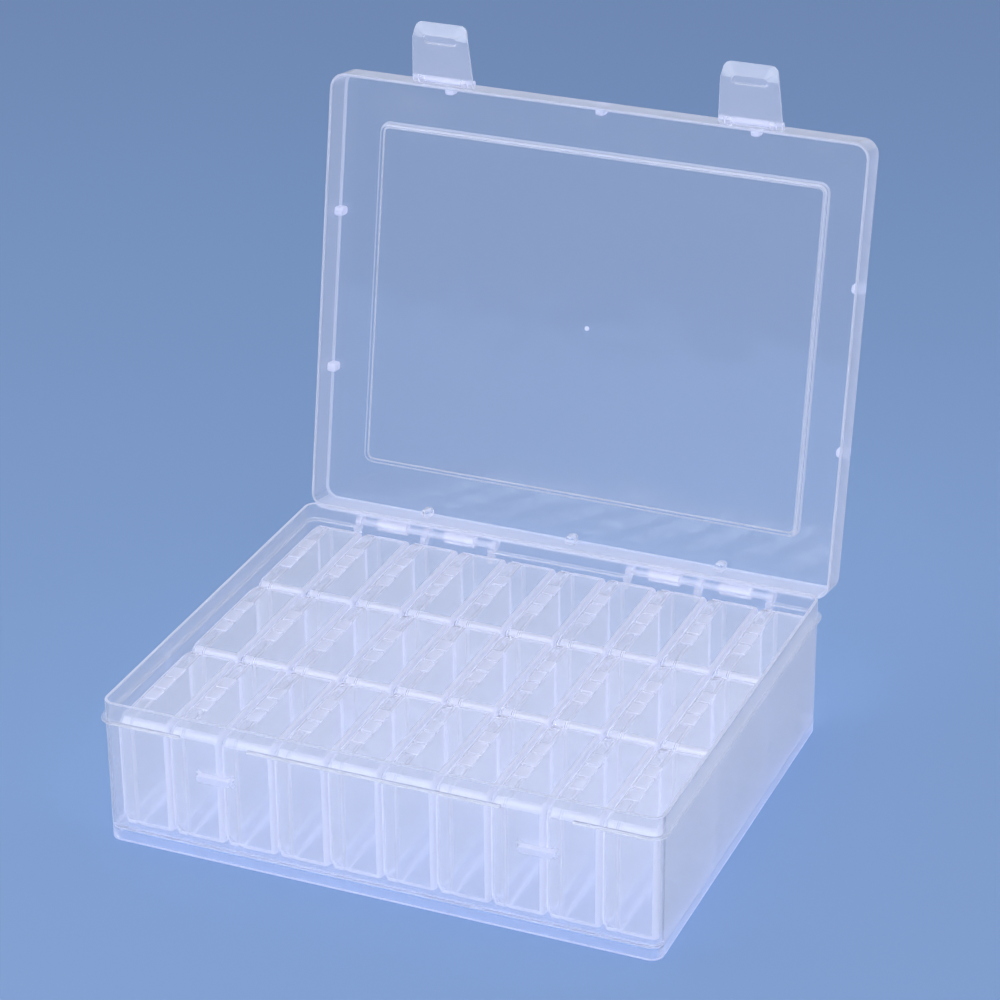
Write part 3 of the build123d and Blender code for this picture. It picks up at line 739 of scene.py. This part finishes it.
def make_cap():
    """The cap, its face to the left with wide round corners, and the clasp on top."""
    bm = new_mesh()
    mouth = CAP_T - SEAM
    floor_in, mouth_in, mouth_out, *_, face = skin(bm, [
        sized(BOX_WALL + CAP_DRAFT, FACE_R - BOX_WALL, BOX_WALL), sized(BOX_WALL, HOLLOW_R, mouth),
        sized(JOINT_DEEP, BOX_R, mouth), sized(JOINT_DEEP, BOX_R, mouth - JOINT * 0.6),
        sized(0, BOX_R, mouth - JOINT * 0.6 - JOINT_DEEP), sized(0, BOX_R, CAP_SHOULDER),
        sized(CAP_DRAFT, FACE_R, 0)], 5)
    # Painted highlight: the face's rounded edge drawn as a white line.
    round_edges(bm, face, 1.3 * MM, 3, FACE_EDGE_HIGHLIGHT)
    round_edges(bm, floor_in, 0.8 * MM, 3)
    round_edges(bm, mouth_in + mouth_out, 0.22 * MM, 2)
    bmesh.ops.transform(bm, matrix=STAND, verts=bm.verts)
    bmesh.ops.recalc_face_normals(bm, faces=bm.faces)
    whiten(bm, joint_band(bm), BAND_WHITE)
    # Painted highlights: bars on the long corners, partly the milk of the thicker corner, and a light streak
    # along the joint's bottom.
    whiten(bm, [f for f in corners(bm) if f.calc_center_median().x > CAP_SHOULDER], CORNER_MILK_AND_HIGHLIGHT)
    whiten(bm, joint_bottom(bm), JOINT_BOTTOM_HIGHLIGHT)
    for start, end, rise in CLASP_PARTS:
        clasp_block(bm, start, end, rise)
    knuckle(bm, 0, CAP_KNUCKLE_W)
    return bm


def clasp_block(bm, start, end, rise):
    """Grows a block out of the cap's top face between two places along it, with a lip that
    reaches over the tray."""
    def grow(faces, step):
        grown = bmesh.ops.extrude_face_region(bm, geom=faces)["geom"]
        bmesh.ops.delete(bm, geom=faces, context="FACES_ONLY")
        bmesh.ops.translate(bm, vec=step, verts=[v for v in grown if isinstance(v, bmesh.types.BMVert)])

    top = max((f for f in bm.faces if f.normal.z > 0.99 and f.calc_center_median().y > start
               and within(f, 2, BOX_H - 0.01 * MM, BOX_H + 0.01 * MM)), key=lambda f: f.calc_area())
    tongue = cut(bm, [top], [((0, start, 0), (0, 1, 0)), ((0, end, 0), (0, 1, 0))])
    tongue = [f for f in tongue if within(f, 1, start, end)]
    tongue = cut(bm, tongue, [((CLASP_LEFT, 0, 0), (1, 0, 0)), ((CLASP_RIGHT, 0, 0), (1, 0, 0))])
    tongue = [f for f in tongue if within(f, 0, CLASP_LEFT, CLASP_RIGHT)]
    before = set(bm.faces) - set(tongue)
    grow(tongue, (0, 0, rise))
    side = [f for f in bm.faces if f not in before
            and within(f, 0, CLASP_RIGHT - 0.01 * MM, CLASP_RIGHT + 0.01 * MM)]
    lip = cut(bm, side, [((0, 0, BOX_H + CLASP_GAP), (0, 0, 1))])
    lip = [f for f in lip if f.calc_center_median().z > BOX_H + 0.3 * MM]
    grow(lip, (CLASP_LIP, 0, 0))
    made = [f for f in bm.faces if f not in before]
    whiten(bm, made, CLASP_WHITE)
    high = {e for f in made for e in f.edges if e.calc_face_angle(0) > math.radians(50)
            and max(v.co.z for v in e.verts) > BOX_H + 0.5 * rise}
    round_edges(bm, list(high), 0.35 * MM, 2, CLASP_EDGE_WHITE)


def mesh_of(bm, name):
    """A finished shape, kept to be copied to each of the thirty places."""
    bmesh.ops.recalc_face_normals(bm, faces=bm.faces)
    data = bpy.data.meshes.new(name)
    bm.to_mesh(data)
    bm.free()
    return data


tray_shape, cap_shape = mesh_of(make_tray(), "tray"), mesh_of(make_cap(), "cap")
for row, row_name in enumerate(("front", "middle", "back")):
    for column in range(10):
        place = (FIRST_X + column * PITCH_X, FIRST_Y + row * PITCH_Y, BOX_Z)
        box = f"box_{row_name}_{column + 1}"
        # The last four of the back row are one CAD node each, which the tray stands for.
        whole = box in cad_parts
        for part, shape, plastic in (("tray", tray_shape, tray_plastic), ("cap", cap_shape, cap_plastic)):
            bm = bmesh.new()
            bm.from_mesh(shape)
            bmesh.ops.translate(bm, vec=place, verts=bm.verts)
            nodes = [f"{box}_{part}"] if not whole else [box] if part == "tray" else []
            slot = {"tray": "small_box", "cap": "small_cap"}[part]
            piece(bm, f"{box}_{part}_shell", plastic, box, slot, *nodes)
